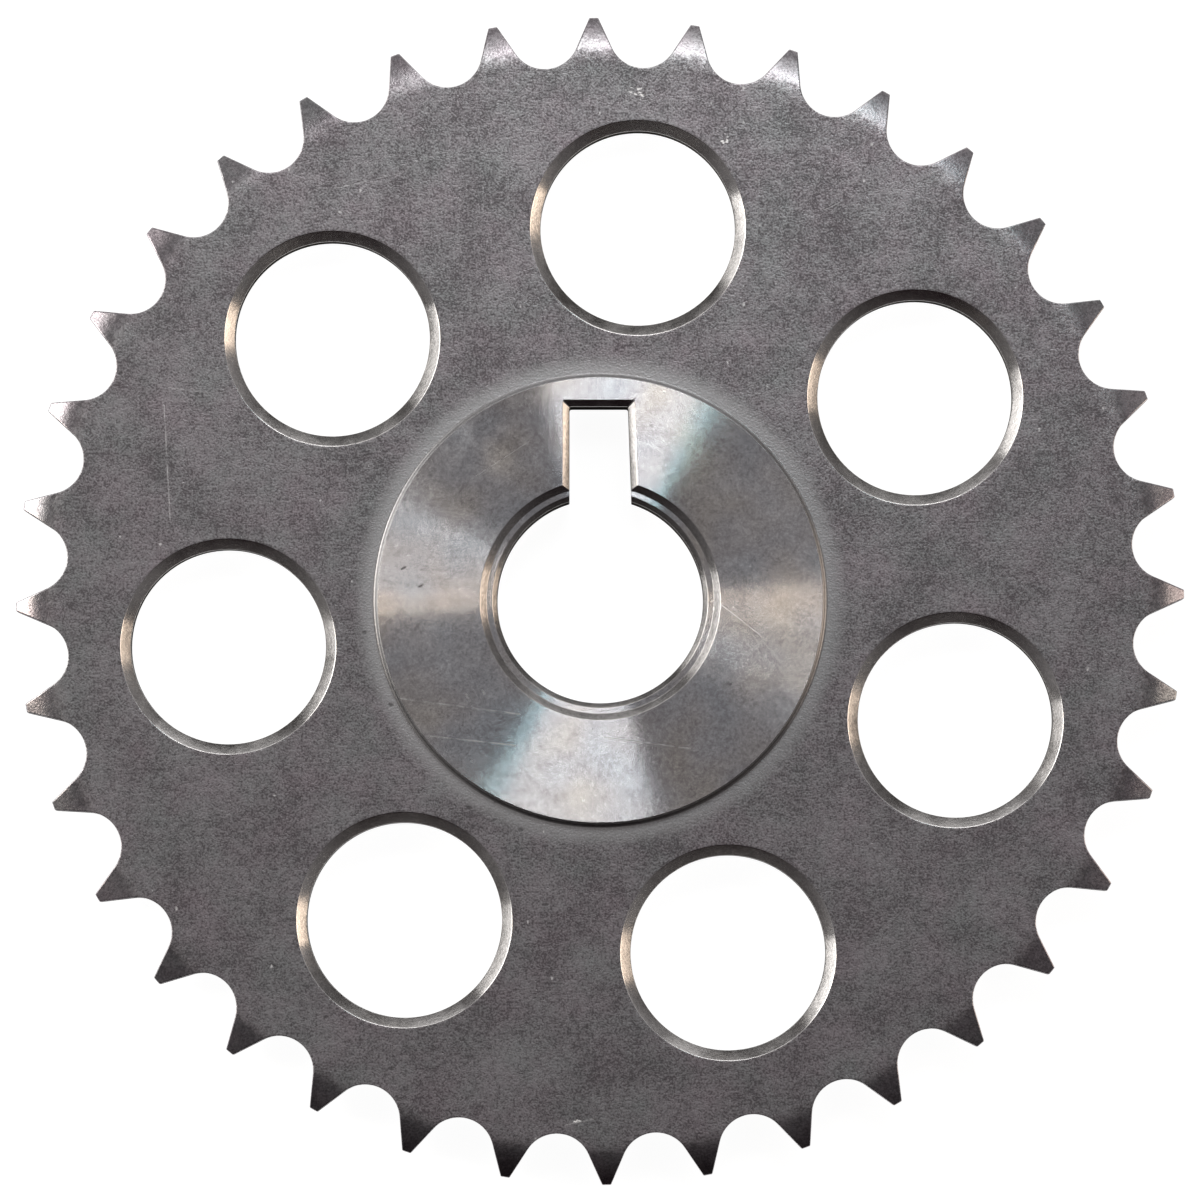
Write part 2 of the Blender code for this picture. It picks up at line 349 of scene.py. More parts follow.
def quarter_tooth():
    """Front half of half a tooth, from its middle to the middle of the next gap."""
    tooth = new_piece("teeth")
    rolls = [math.pi / 2 * i / EDGE_STEPS for i in range(EDGE_STEPS, -1, -1)]
    edges = [half_gap(TOOTH_ROUNDING * (1 - math.cos(roll))) for roll in rolls]
    lines = []
    for inner in range(len(edges[0])):
        x, y = edges[0][inner]
        line = across(math.hypot(x, y), math.atan2(y, x))
        for roll, edge in zip(rolls[1:], edges[1:]):
            x, y = edge[inner]
            line.append((x, y, relief_height(math.hypot(x, y)) - TOOTH_ROUNDING * (1 - math.sin(roll))))
        line.append((x, y, 0.0))
        lines.append(line)
    skin(tooth, lines)

    end_x, end_y = edges[0][-1]
    half_tip = math.atan2(end_y, end_x)
    cap = []
    for roll in rolls:
        radius = TIP_RADIUS - TOOTH_ROUNDING * (1 - math.cos(roll))
        height = relief_height(radius) - TOOTH_ROUNDING * (1 - math.sin(roll))
        cap.append([(x, y, height) for x, y, _ in across(radius, half_tip)])
    cap.append([(x, y, 0.0) for x, y, _ in cap[-1]])
    skin(tooth, cap)

    first_x, first_y = edges[0][0]
    skin(tooth, [across(RIM_SEAM, HALF_STEP), across(math.hypot(first_x, first_y), HALF_STEP)])
    weld(tooth)
    return tooth


def toothed_rim():
    """All the teeth's front half: one quarter mirrored across its middle, then copied round."""
    teeth = quarter_tooth()
    apply_modifier(teeth, "MIRROR", use_axis=(False, True, False), merge_threshold=WELD)
    turn_piece(teeth, TOOTH_PHASE)
    repeat_round(TOOTH_COUNT)
    weld(teeth)
    bpy.ops.object.mode_set(mode="OBJECT")
    return teeth


def hole_rims():
    """The holes' front half: wall, chamfer and a narrow strip of the plate round each."""
    holes = new_piece("lightening_holes")
    rim = HOLE_RADIUS + HOLE_CHAMFER
    section = softened(
        [
            (HOLE_RADIUS, 0.0, 0.0),
            (HOLE_RADIUS, HALF_PLATE - HOLE_CHAMFER, CUT_ROUNDING),
            (rim, HALF_PLATE, CUT_ROUNDING),
            (rim + HOLE_STRIP, HALF_PLATE, 0.0),
        ]
    )
    draw([(HOLE_CIRCLE + r, 0.0, z) for r, z in section])
    bpy.ops.mesh.select_all(action="SELECT")
    centre = (HOLE_CIRCLE, 0, 0)
    bpy.ops.mesh.spin(steps=HOLE_STEPS, angle=2 * math.pi, center=centre, axis=(0, 0, 1))
    weld(holes)
    turn_piece(holes, HOLE_PHASE)
    repeat_round(HOLE_COUNT)
    bpy.ops.object.mode_set(mode="OBJECT")
    return holes


def hub_edge():
    """The hub's edge and foot, front half, from the hub's face out to the plate."""
    hub = new_piece("hub_edge")
    edge = softened(
        [
            (HUB_SEAM, HALF_HUB, 0.0),
            (HUB_RADIUS - EDGE_BREAK, HALF_HUB, HUB_ROUNDING),
            (HUB_RADIUS, HALF_HUB - EDGE_BREAK, HUB_ROUNDING),
            (HUB_RADIUS, HALF_PLATE + FOOT_FILLET, 0.0),
        ]
    )
    foot_centre = (HUB_RADIUS + FOOT_FILLET, HALF_PLATE + FOOT_FILLET)
    foot = arc(foot_centre, FOOT_FILLET, math.pi, 1.5 * math.pi, FILLET_STEPS)
    flat = [(foot[-1][0] + FLAT_MARGIN, HALF_PLATE), (FOOT_SEAM, HALF_PLATE)]
    draw([(r, 0.0, z) for r, z in edge + foot[1:] + flat])
    bpy.ops.mesh.select_all(action="SELECT")
    bpy.ops.mesh.spin(steps=TURN_STEPS, angle=2 * math.pi, center=(0, 0, 0), axis=(0, 0, 1))
    weld(hub)
    bpy.ops.object.mode_set(mode="OBJECT")
    return hub


def slot_plan(grow):
    """The slot's plan, from inside the bore to its closed end, spread outwards by grow.

    The left wall runs straight out and the right one leans in towards the end.
    """
    taper = (SLOT_RIGHT_MOUTH - SLOT_RIGHT_END) / SLOT_DEPTH
    lean = math.atan(taper)
    inner = BORE_RADIUS / 2
    corner_y = SLOT_END + grow - SLOT_CORNER

    def right_side(y):
        return SLOT_RIGHT_END + (SLOT_END - y) * taper + grow / math.cos(lean)

    left_side = -SLOT_LEFT - grow
    right_x = right_side(corner_y) - SLOT_CORNER / math.cos(lean)
    left_x = left_side + SLOT_CORNER
    right = arc((right_x, corner_y), SLOT_CORNER, lean, math.pi / 2, SLOT_CORNER_STEPS)
    left = arc((left_x, corner_y), SLOT_CORNER, math.pi / 2, math.pi, SLOT_CORNER_STEPS)
    return [(right_side(inner), inner)] + right + left + [(left_side, inner)]


def slot_cutter():
    """The driving slot with chamfers at both faces, their edges eased by a narrow second slope."""
    cutter = new_piece("slot_cutter")
    ease = SLOT_EASE
    foot = SLOT_CHAMFER - ease
    front = [(HUB_THICKNESS - SLOT_CHAMFER - ease, 0.0), (HUB_THICKNESS - foot, ease * EASE_SLOPE)]
    front.append((HUB_THICKNESS - ease, foot))
    front.append((HUB_THICKNESS + OVERCUT, foot + (OVERCUT + ease) * RUN_OUT_SLOPE))
    back = [(HUB_THICKNESS - height, grow) for height, grow in reversed(front)]
    levels = []
    for height, grow in back + front:
        levels.append([(x, y, height) for x, y in slot_plan(grow)])
    skin(cutter, levels, closed=True)
    for height in (-OVERCUT, HUB_THICKNESS + OVERCUT):
        pick(cutter, "EDGE", lambda e: all(abs(v.co.z - height) < WELD for v in e.verts))
        bpy.ops.mesh.edge_face_add()
    weld(cutter)
    bpy.ops.object.mode_set(mode="OBJECT")
    return cutter


def hub_core():
    """The bore's stepped mouth, its wall and the hub's faces, with the driving slot cut through."""
    core = new_piece("hub_core")
    ledge = HUB_THICKNESS - COUNTERSINK
    ledge_inner = BORE_RADIUS + BORE_CHAMFER
    ledge_outer = ledge_inner + LEDGE_WIDTH
    ease = CUT_ROUNDING
    section = softened(
        [
            (HUB_SEAM, HUB_THICKNESS, 0.0),
            (ledge_outer + COUNTERSINK, HUB_THICKNESS, ease),
            (ledge_outer, ledge, ease / 2),
            (ledge_inner, ledge, ease),
            (BORE_RADIUS, ledge - BORE_CHAMFER, ease),
            (BORE_RADIUS, BACK_CHAMFER, ease),
            (BORE_RADIUS + BACK_CHAMFER, 0.0, ease),
            (HUB_SEAM, 0.0, 0.0),
        ]
    )
    draw([(r, 0.0, z) for r, z in section])
    pick(core, "VERT", lambda v: len(v.link_edges) == 1)
    bpy.ops.mesh.edge_face_add()
    bpy.ops.mesh.select_all(action="SELECT")
    bpy.ops.mesh.spin(steps=TURN_STEPS, angle=2 * math.pi, center=(0, 0, 0), axis=(0, 0, 1))
    weld(core)
    bpy.ops.object.mode_set(mode="OBJECT")

    cutter = slot_cutter()
    apply_modifier(core, "BOOLEAN", operation="DIFFERENCE", solver="EXACT", object=cutter)
    bpy.data.objects.remove(cutter)
    bpy.ops.object.mode_set(mode="EDIT")
    pick(core, "FACE", lambda f: all(math.hypot(v.co.x, v.co.y) > HUB_SEAM - WELD for v in f.verts))
    bpy.ops.mesh.delete(type="FACE")
    bpy.ops.object.mode_set(mode="OBJECT")
    return core


def join(pieces, name):
    """Makes several pieces one mesh."""
    bpy.ops.object.select_all(action="DESELECT")
    for piece in pieces:
        piece.select_set(True)
    bpy.context.view_layer.objects.active = pieces[0]
    bpy.ops.object.join()
    pieces[0].name = name
    pieces[0].data.name = name
    return pieces[0]


def plate_border(edge):
    """Whether an edge bounds the bare flat of the plate's front half."""
    if len(edge.link_faces) != 1:
        return False
    return all(abs(v.co.z - HALF_PLATE) < WELD for v in edge.verts)


def sprocket_steel():
    """The whole sprocket as one closed skin."""
    wheel = join([toothed_rim(), hole_rims(), hub_edge()], "sprocket_steel")
    bpy.ops.object.mode_set(mode="EDIT")
    pick(wheel, "EDGE", plate_border)
    bpy.ops.mesh.fill(use_beauty=True)
    weld(wheel)
    apply_modifier(wheel, "MIRROR", use_axis=(False, False, True), merge_threshold=WELD)
    wheel.location.z = HALF_HUB
    bpy.ops.object.transform_apply(location=True, rotation=False, scale=False)
    wheel = join([wheel, hub_core()], "sprocket_steel")
    weld(wheel)
    bpy.ops.object.mode_set(mode="OBJECT")
    return wheel


def shade(piece):
    """Smooth on round forms and rounded edges, sharp on the rest."""
    bpy.ops.object.select_all(action="DESELECT")
    piece.select_set(True)
    bpy.context.view_layer.objects.active = piece
    bpy.ops.object.shade_smooth_by_angle(angle=SMOOTH_ANGLE)


steel = sprocket_steel()
shade(steel)


def add_node(tree, kind, inputs=None, **settings):
    """Adds a node; inputs are numbers, colours or the sockets that feed them."""
    node = tree.nodes.new(kind)
    for name, value in settings.items():
        setattr(node, name, value)
    for name, value in (inputs or {}).items():
        socket = node.inputs[name]
        if isinstance(value, bpy.types.NodeSocket):
            tree.links.new(value, socket)
        else:
            socket.default_value = value
    return node


def maths(tree, operation, *values):
    """One Math node's result."""
    node = add_node(tree, "ShaderNodeMath", operation=operation)
    for socket, value in zip(node.inputs, values):
        if isinstance(value, bpy.types.NodeSocket):
            tree.links.new(value, socket)
        else:
            socket.default_value = value
    return node.outputs[0]


def vectors(tree, operation, *values, result="Vector"):
    """One Vector Math node's result."""
    node = add_node(tree, "ShaderNodeVectorMath", operation=operation)
    for socket, value in zip(node.inputs, values):
        if isinstance(value, bpy.types.NodeSocket):
            tree.links.new(value, socket)
        else:
            socket.default_value = value
    return node.outputs[result]


def spread(tree, value, low, high, to_low, to_high, smooth=False):
    """Moves a value from one range to another, held within it."""
    node = add_node(
        tree,
        "ShaderNodeMapRange",
        {"Value": value, "From Min": low, "From Max": high, "To Min": to_low, "To Max": to_high},
        interpolation_type="SMOOTHSTEP" if smooth else "LINEAR",
    )
    return node.outputs["Result"]


def blend(tree, share, first, second):
    """Mixes two colours."""
    node = add_node(tree, "ShaderNodeMix", data_type="RGBA")
    for socket, value in ((node.inputs[0], share), (node.inputs[6], first), (node.inputs[7], second)):
        if isinstance(value, bpy.types.NodeSocket):
            tree.links.new(value, socket)
        else:
            socket.default_value = value
    return node.outputs[2]


def new_group(name, inputs, outputs):
    """A shader node group: its inputs are names with a default, its outputs are names."""
    group = bpy.data.node_groups.new(name, "ShaderNodeTree")
    for label, default in inputs.items():
        kind = "NodeSocketVector" if isinstance(default, tuple) else "NodeSocketFloat"
        socket = group.interface.new_socket(label, in_out="INPUT", socket_type=kind)
        socket.default_value = default
    for label in outputs:
        group.interface.new_socket(label, in_out="OUTPUT", socket_type="NodeSocketFloat")
    return group, group.nodes.new("NodeGroupInput").outputs, group.nodes.new("NodeGroupOutput").inputs


def noise(tree, vector, scale, detail=2.0, rough=0.5):
    """Three-dimensional noise, near 0.5 on average."""
    inputs = {"Vector": vector, "Scale": scale, "Detail": detail, "Roughness": rough}
    return add_node(tree, "ShaderNodeTexNoise", inputs).outputs["Fac"]


def tumbled_marks():
    """The mottle that tumbling leaves: a fine grain, soft blotches and wide clouds."""
    group, given, result = new_group(
        "tumbled_marks",
        {"Vector": (0.0, 0.0, 0.0), "Grain": 5000.0, "Blotches": 900.0, "Clouds": 190.0},
        ["Tone", "Hue", "Cloud", "Height"],
    )
    fine = noise(group, given["Vector"], given["Grain"], 1.0, 0.6)
    coarse = noise(group, given["Vector"], maths(group, "MULTIPLY", given["Grain"], 0.42), 2.0, 0.6)
    blotch = noise(group, given["Vector"], given["Blotches"], 4.0, 0.7)
    cloud = noise(group, given["Vector"], given["Clouds"], 3.0, 0.6)
    hue = noise(group, vectors(group, "ADD", given["Vector"], (0.3, 0.1, 0.0)), 150.0, 4.0, 0.65)
    grain = maths(group, "MULTIPLY_ADD", fine, 0.65, maths(group, "MULTIPLY", coarse, 0.35))
    mottle = maths(group, "MULTIPLY_ADD", grain, 0.6, maths(group, "MULTIPLY", blotch, 0.2))
    tone = maths(group, "MULTIPLY_ADD", cloud, 0.2, mottle)
    group.links.new(tone, result["Tone"])
    group.links.new(hue, result["Hue"])
    group.links.new(cloud, result["Cloud"])
    group.links.new(maths(group, "MULTIPLY_ADD", blotch, 0.5, grain), result["Height"])
    return group


def speckle_layer(group, vector, scale, stretch, share, size):
    """Short dashes or dots scattered on the steel: a mask of those that a random share keeps."""
    warped = add_node(
        group,
        "ShaderNodeTexNoise",
        {"Vector": vector, "Scale": scale * 1.7, "Detail": 2.0},
    ).outputs["Color"]
    centred = vectors(group, "SUBTRACT", warped, (0.5, 0.5, 0.5))
    shift = vectors(group, "MULTIPLY", centred, (0.35 / scale,) * 3)
    moved = vectors(group, "MULTIPLY", vectors(group, "ADD", vector, shift), stretch)
    cells = add_node(
        group,
        "ShaderNodeTexVoronoi",
        {"Vector": moved, "Scale": scale, "Randomness": 1.0},
        feature="F1",
    )
    chosen = add_node(group, "ShaderNodeSeparateColor", {"Color": cells.outputs["Color"]})
    kept = maths(group, "GREATER_THAN", chosen.outputs[0], 1.0 - share)
    reach = maths(group, "MULTIPLY", chosen.outputs[1], size)
    edge = maths(group, "MULTIPLY", reach, 0.4)
    dot = spread(group, cells.outputs["Distance"], edge, reach, 1.0, 0.0, smooth=True)
    return maths(group, "MULTIPLY", dot, kept)


def scattered_specks():
    """Bright nicks and dark pits of several sizes."""
    group, given, result = new_group("scattered_specks", {"Vector": (0.0, 0.0, 0.0)}, ["Bright", "Dark"])
    small = speckle_layer(group, given["Vector"], 1300.0, (1.0, 0.7, 1.0), 0.06, 0.24)
    long = speckle_layer(group, given["Vector"], 640.0, (0.5, 1.0, 1.0), 0.03, 0.1)
    pits = speckle_layer(group, given["Vector"], 1000.0, (0.8, 1.0, 1.0), 0.14, 0.3)
    bright = maths(group, "MAXIMUM", small, long)
    group.links.new(maths(group, "MULTIPLY", bright, 0.5), result["Bright"])
    group.links.new(maths(group, "MULTIPLY", pits, 0.6), result["Dark"])
    return group


def nick_cluster():
    """A few bright nicks struck close together round one point of the face."""
    group, given, result = new_group(
        "nick_cluster",
        {"Vector": (0.0, 0.0, 0.0), "Centre": (0.0, 0.0, 0.0), "Reach": 0.001},
        ["Mask"],
    )
    flat = vectors(group, "MULTIPLY", given["Vector"], (1.0, 1.0, 0.0))
    away = vectors(group, "DISTANCE", flat, given["Centre"], result="Value")
    core = maths(group, "MULTIPLY", given["Reach"], 0.3)
    near = spread(group, away, core, given["Reach"], 1.0, 0.0, smooth=True)
    drawn = vectors(group, "MULTIPLY", given["Vector"], (0.8, 1.6, 1.0))
    flecks = noise(group, drawn, 2300.0, 3.0, 0.6)
    level = maths(group, "MULTIPLY_ADD", near, -0.1, 0.65)
    above = maths(group, "SUBTRACT", flecks, level)
    fleck = spread(group, above, 0.0, 0.04, 0.0, 1.0, smooth=True)
    group.links.new(maths(group, "MULTIPLY", fleck, near), result["Mask"])
    return group


def turning_rings():
    """How far the cutter's grooves lean, from -1 to 1. They are too fine to be seen one by one."""
    group, given, result = new_group("turning_rings", {"Vector": (0.0, 0.0, 0.0)}, ["Lean"])
    flat = vectors(group, "MULTIPLY", given["Vector"], (1.0, 1.0, 0.0))
    radius = vectors(group, "LENGTH", flat, result="Value")
    groove = add_node(group, "ShaderNodeTexWhiteNoise", {"W": radius}, noise_dimensions="1D")
    group.links.new(maths(group, "MULTIPLY_ADD", groove.outputs["Value"], 2.0, -1.0), result["Lean"])
    return group


def dull_film():
    """A soft patch of dull film round one point of the face, thin in places."""
    group, given, result = new_group(
        "dull_film",
        {"Vector": (0.0, 0.0, 0.0), "Centre": (0.0, 0.0, 0.0), "Reach": 0.005},
        ["Mask"],
    )
    flat = vectors(group, "MULTIPLY", given["Vector"], (1.0, 1.0, 0.0))
    away = vectors(group, "DISTANCE", flat, given["Centre"], result="Value")
    near = spread(group, away, 0.0, given["Reach"], 1.0, 0.0, smooth=True)
    wisps = noise(group, given["Vector"], 420.0, 5.0, 0.65)
    thick = spread(group, wisps, 0.42, 0.64, 0.1, 1.0)
    group.links.new(maths(group, "MULTIPLY", near, thick), result["Mask"])
    return group


def single_scratch():
    """One thin straight scratch between two points of the face, broken here and there."""
    group, given, result = new_group(
        "single_scratch",
        {"Vector": (0.0, 0.0, 0.0), "Start": (0.0, 0.0, 0.0), "End": (0.0, 0.0, 0.0), "Width": 0.0001},
        ["Mask"],
    )
    flat = vectors(group, "MULTIPLY", given["Vector"], (1.0, 1.0, 0.0))
    from_start = vectors(group, "SUBTRACT", flat, given["Start"])
    whole = vectors(group, "SUBTRACT", given["End"], given["Start"])
    along = vectors(group, "DOT_PRODUCT", from_start, whole, result="Value")
    square = vectors(group, "DOT_PRODUCT", whole, whole, result="Value")
    share = add_node(group, "ShaderNodeClamp", {"Value": maths(group, "DIVIDE", along, square)}).outputs[0]
    scale = add_node(group, "ShaderNodeVectorMath", {0: whole, "Scale": share}, operation="SCALE")
    away = vectors(group, "DISTANCE", from_start, scale.outputs[0], result="Value")
    line = spread(group, away, 0.0, given["Width"], 1.0, 0.0, smooth=True)
    gaps = spread(group, noise(group, given["Vector"], 900.0, 2.0), 0.38, 0.55, 0.15, 1.0)
    group.links.new(maths(group, "MULTIPLY", line, gaps), result["Mask"])
    return group


def use(tree, group, **inputs):
    """Places a node group and returns its outputs."""
    node = add_node(tree, "ShaderNodeGroup", node_tree=group)
    for name, value in inputs.items():
        if isinstance(value, bpy.types.NodeSocket):
            tree.links.new(value, node.inputs[name])
        else:
            node.inputs[name].default_value = value
    return node.outputs


def new_metal(name):
    """A bare metal material: its node tree, its shader and its Object coordinates."""
    material = bpy.data.materials.new(name)
    material.use_nodes = True
    tree = material.node_tree
    shader = tree.nodes["Principled BSDF"]
    shader.inputs["Metallic"].default_value = 1.0
    place = add_node(tree, "ShaderNodeTexCoord").outputs["Object"]
    return material, tree, shader, place


def set_bump(tree, shader, height, strength, distance):
    """Feeds a height to the shader's normal."""
    inputs = {"Height": height, "Strength": strength, "Distance": distance}
    bump = add_node(tree, "ShaderNodeBump", inputs)
    tree.links.new(bump.outputs["Normal"], shader.inputs["Normal"])


# The tumbled plate: its darkest and palest greys, its two tints, the grey of a painted highlight in a ring
# round the hub, pits and nicks
PLATE_DARK = (0.138, 0.13, 0.134, 1.0)
PLATE_PALE = (0.405, 0.395, 0.4, 1.0)
PLATE_WARM_TINT = (1.07, 0.96, 1.01, 1.0)
PLATE_COOL_TINT = (0.965, 1.0, 0.99, 1.0)
PLATE_TINT_SHARE = 0.8
SHEEN_PAINT_GREY = (0.62, 0.62, 0.62, 1.0)
SHEEN_PAINT_SHARE = 0.65
PIT_GREY = (0.1, 0.095, 0.095, 1.0)
NICK_WHITE = (0.92, 0.91, 0.9, 1.0)
PLATE_SCRATCH_SHARE = 0.35

# Roughness of the plate from its darkest grey to its palest, and of the teeth's sides
PLATE_ROUGHNESS = (0.43, 0.37)
TOOTH_ROUGHNESS = (0.21, 0.27)

# How much of the plate's mottle the smoother teeth lose
TOOTH_CALM = 0.45


def tumbled_steel(name, marks, speckles, nicks, scratch):
    """Grey tumbled steel: mottled on the plate, with a painted highlight that makes it paler in a ring next
    to the hub, smoother on the teeth's sides.
    """
    material, tree, shader, place = new_metal(name)
    worn = use(tree, marks, Vector=place)
    specks = use(tree, speckles, Vector=place)
    flat = vectors(tree, "MULTIPLY", place, (1.0, 1.0, 0.0))
    radius = vectors(tree, "LENGTH", flat, result="Value")
    # Painted highlight: the plate is painted paler in a ring next to the hub, standing in for the light that
    # the hub's foot catches
    painted_sheen = spread(tree, radius, SHEEN_PAINT_INNER, SHEEN_PAINT_OUTER, 1.0, 0.0, smooth=True)
    teeth = spread(tree, radius, TOOTH_SHEEN_START, TOOTH_SHEEN_FULL, 0.0, 1.0, smooth=True)
    calm = maths(tree, "MULTIPLY", teeth, TOOTH_CALM)
    contrast = maths(tree, "SUBTRACT", 1.0, calm)

    tone = spread(tree, worn["Tone"], 0.43, 0.57, 0.0, 1.0)
    centred = maths(tree, "SUBTRACT", tone, 0.5)
    evened = maths(tree, "MULTIPLY_ADD", centred, contrast, 0.5)
    grey = blend(tree, evened, PLATE_DARK, PLATE_PALE)
    shift = spread(tree, worn["Hue"], 0.32, 0.68, 0.0, 1.0)
    tint = blend(tree, shift, PLATE_WARM_TINT, PLATE_COOL_TINT)
    tinted = add_node(tree, "ShaderNodeMix", data_type="RGBA", blend_type="MULTIPLY")
    tinted.inputs[0].default_value = PLATE_TINT_SHARE
    tree.links.new(grey, tinted.inputs[6])
    tree.links.new(tint, tinted.inputs[7])
    # The painted highlight is mixed into the plate's colour here
    paler = blend(tree, maths(tree, "MULTIPLY", painted_sheen, SHEEN_PAINT_SHARE), tinted.outputs[2], SHEEN_PAINT_GREY)
    shown = maths(tree, "MULTIPLY", specks["Dark"], contrast)
    darker = blend(tree, shown, paler, PIT_GREY)
    marked = specks["Bright"]
    for centre, reach in PLATE_NICKS:
        struck = use(tree, nicks, Vector=place, Centre=centre, Reach=reach)
        marked = maths(tree, "MAXIMUM", marked, struck["Mask"])
    for start, end, width in PLATE_SCRATCHES:
        line = use(tree, scratch, Vector=place, Start=start, End=end, Width=width)
        faint = maths(tree, "MULTIPLY", line["Mask"], PLATE_SCRATCH_SHARE)
        marked = maths(tree, "MAXIMUM", marked, faint)
    bright = blend(tree, marked, darker, NICK_WHITE)
    tree.links.new(bright, shader.inputs["Base Color"])

    plate_rough = spread(tree, evened, 0.2, 0.8, *PLATE_ROUGHNESS)
    tooth_rough = spread(tree, worn["Cloud"], 0.3, 0.7, *TOOTH_ROUGHNESS)
    rough = add_node(tree, "ShaderNodeMix", data_type="FLOAT")
    tree.links.new(teeth, rough.inputs[0])
    tree.links.new(plate_rough, rough.inputs[2])
    tree.links.new(tooth_rough, rough.inputs[3])
    rougher = maths(tree, "MULTIPLY_ADD", marked, 0.2, rough.outputs[0])
    tree.links.new(rougher, shader.inputs["Roughness"])
    grain = maths(tree, "MULTIPLY", worn["Height"], contrast)
    pits = maths(tree, "MULTIPLY_ADD", specks["Dark"], -0.5, grain)
    set_bump(tree, shader, pits, 0.9, 0.03 * MM)
    return material


# The turned face: its darkest and palest greys, its two tints, dings and scratches
FACE_DARK = (0.49, 0.47, 0.475, 1.0)
FACE_PALE = (0.72, 0.71, 0.715, 1.0)
FACE_WARM_TINT = (1.05, 1.01, 0.93, 1.0)
FACE_COOL_TINT = (0.94, 1.0, 1.04, 1.0)
NO_TINT = (1.0, 1.0, 1.0, 1.0)
DING_GREY = (0.12, 0.11, 0.11, 1.0)
SCRATCH_WHITE = (0.95, 0.94, 0.92, 1.0)
FACE_ROUGHNESS = (0.205, 0.23)

# How much rougher a scratch is, and the most of the metal that haze hides
SCRATCH_ROUGHNESS = 0.45
FACE_HAZE = 0.06


def turned_steel(name, marks, speckles, rings, film, scratch):
    """The hub's face: finely turned, so that light fans out across the rings, with a thin dull film."""
    material, tree, shader, place = new_metal(name)
    worn = use(tree, marks, Vector=place)
    specks = use(tree, speckles, Vector=place)
    tone = spread(tree, worn["Tone"], 0.38, 0.62, 0.0, 1.0)
    grey = blend(tree, tone, FACE_DARK, FACE_PALE)
    hue = noise(tree, place, 150.0, 1.0)
    warm = blend(tree, spread(tree, hue, 0.3, 0.5, 0.0, 1.0), FACE_WARM_TINT, NO_TINT)
    tint = blend(tree, spread(tree, hue, 0.5, 0.7, 0.0, 1.0), warm, FACE_COOL_TINT)
    tinted = add_node(tree, "ShaderNodeMix", data_type="RGBA", blend_type="MULTIPLY")
    tinted.inputs[0].default_value = 1.0
    tree.links.new(grey, tinted.inputs[6])
    tree.links.new(tint, tinted.inputs[7])
    marked = maths(tree, "MULTIPLY", specks["Bright"], 0.4)
    for start, end, width in HUB_SCRATCHES:
        line = use(tree, scratch, Vector=place, Start=start, End=end, Width=width)
        marked = maths(tree, "MAXIMUM", marked, line["Mask"])
    dark = maths(tree, "MULTIPLY", specks["Dark"], 0.5)
    for start, end, width in HUB_DINGS:
        line = use(tree, scratch, Vector=place, Start=start, End=end, Width=width)
        dark = maths(tree, "MAXIMUM", dark, line["Mask"])
    pitted = blend(tree, dark, tinted.outputs[2], DING_GREY)
    tree.links.new(blend(tree, marked, pitted, SCRATCH_WHITE), shader.inputs["Base Color"])
    smudge = noise(tree, place, 200.0, 4.0, 0.6)
    rough = spread(tree, smudge, 0.4, 0.7, *FACE_ROUGHNESS)
    rougher = maths(tree, "MULTIPLY_ADD", marked, SCRATCH_ROUGHNESS, rough)
    tree.links.new(rougher, shader.inputs["Roughness"])
    dull = spread(tree, worn["Tone"], 0.47, 0.6, 0.0, FACE_HAZE)
    for centre, reach, share in HUB_FILMS:
        patch = use(tree, film, Vector=place, Centre=centre, Reach=reach)
        dull = maths(tree, "MULTIPLY_ADD", patch["Mask"], share, dull)
    tree.links.new(maths(tree, "SUBTRACT", 1.0, dull), shader.inputs["Metallic"])
    shader.inputs["Anisotropic"].default_value = 1.0
    shader.inputs["Anisotropic Rotation"].default_value = 0.25
    tangent = add_node(tree, "ShaderNodeTangent", direction_type="RADIAL", axis="Z")
    tree.links.new(tangent.outputs[0], shader.inputs["Tangent"])
    outwards = vectors(tree, "NORMALIZE", vectors(tree, "MULTIPLY", place, (1.0, 1.0, 0.0)))
    lean = maths(tree, "MULTIPLY", use(tree, rings, Vector=place)["Lean"], RING_LEAN)
    slope = add_node(tree, "ShaderNodeVectorMath", {0: outwards, "Scale": lean}, operation="SCALE")
    straight = add_node(tree, "ShaderNodeNewGeometry").outputs["Normal"]
    ringed = vectors(tree, "NORMALIZE", vectors(tree, "ADD", straight, slope.outputs[0]))
    tree.links.new(ringed, shader.inputs["Normal"])
    return material


def cut_steel(name, colour, roughness, marks, metal=1.0):
    """A machined bevel, foot or wall, even in tone."""
    material, tree, shader, place = new_metal(name)
    worn = use(tree, marks, Vector=place, Grain=3600.0)
    tone = spread(tree, worn["Tone"], 0.38, 0.62, 0.82, 1.12)
    shade_of = add_node(tree, "ShaderNodeVectorMath", {0: colour, "Scale": tone}, operation="SCALE")
    tree.links.new(shade_of.outputs[0], shader.inputs["Base Color"])
    shader.inputs["Metallic"].default_value = metal
    shader.inputs["Specular IOR Level"].default_value = 0.0
    rough = spread(tree, worn["Cloud"], 0.3, 0.7, roughness - 0.05, roughness + 0.07)
    tree.links.new(rough, shader.inputs["Roughness"])
    set_bump(tree, shader, worn["Height"], 0.2, 0.02 * MM)
    return material


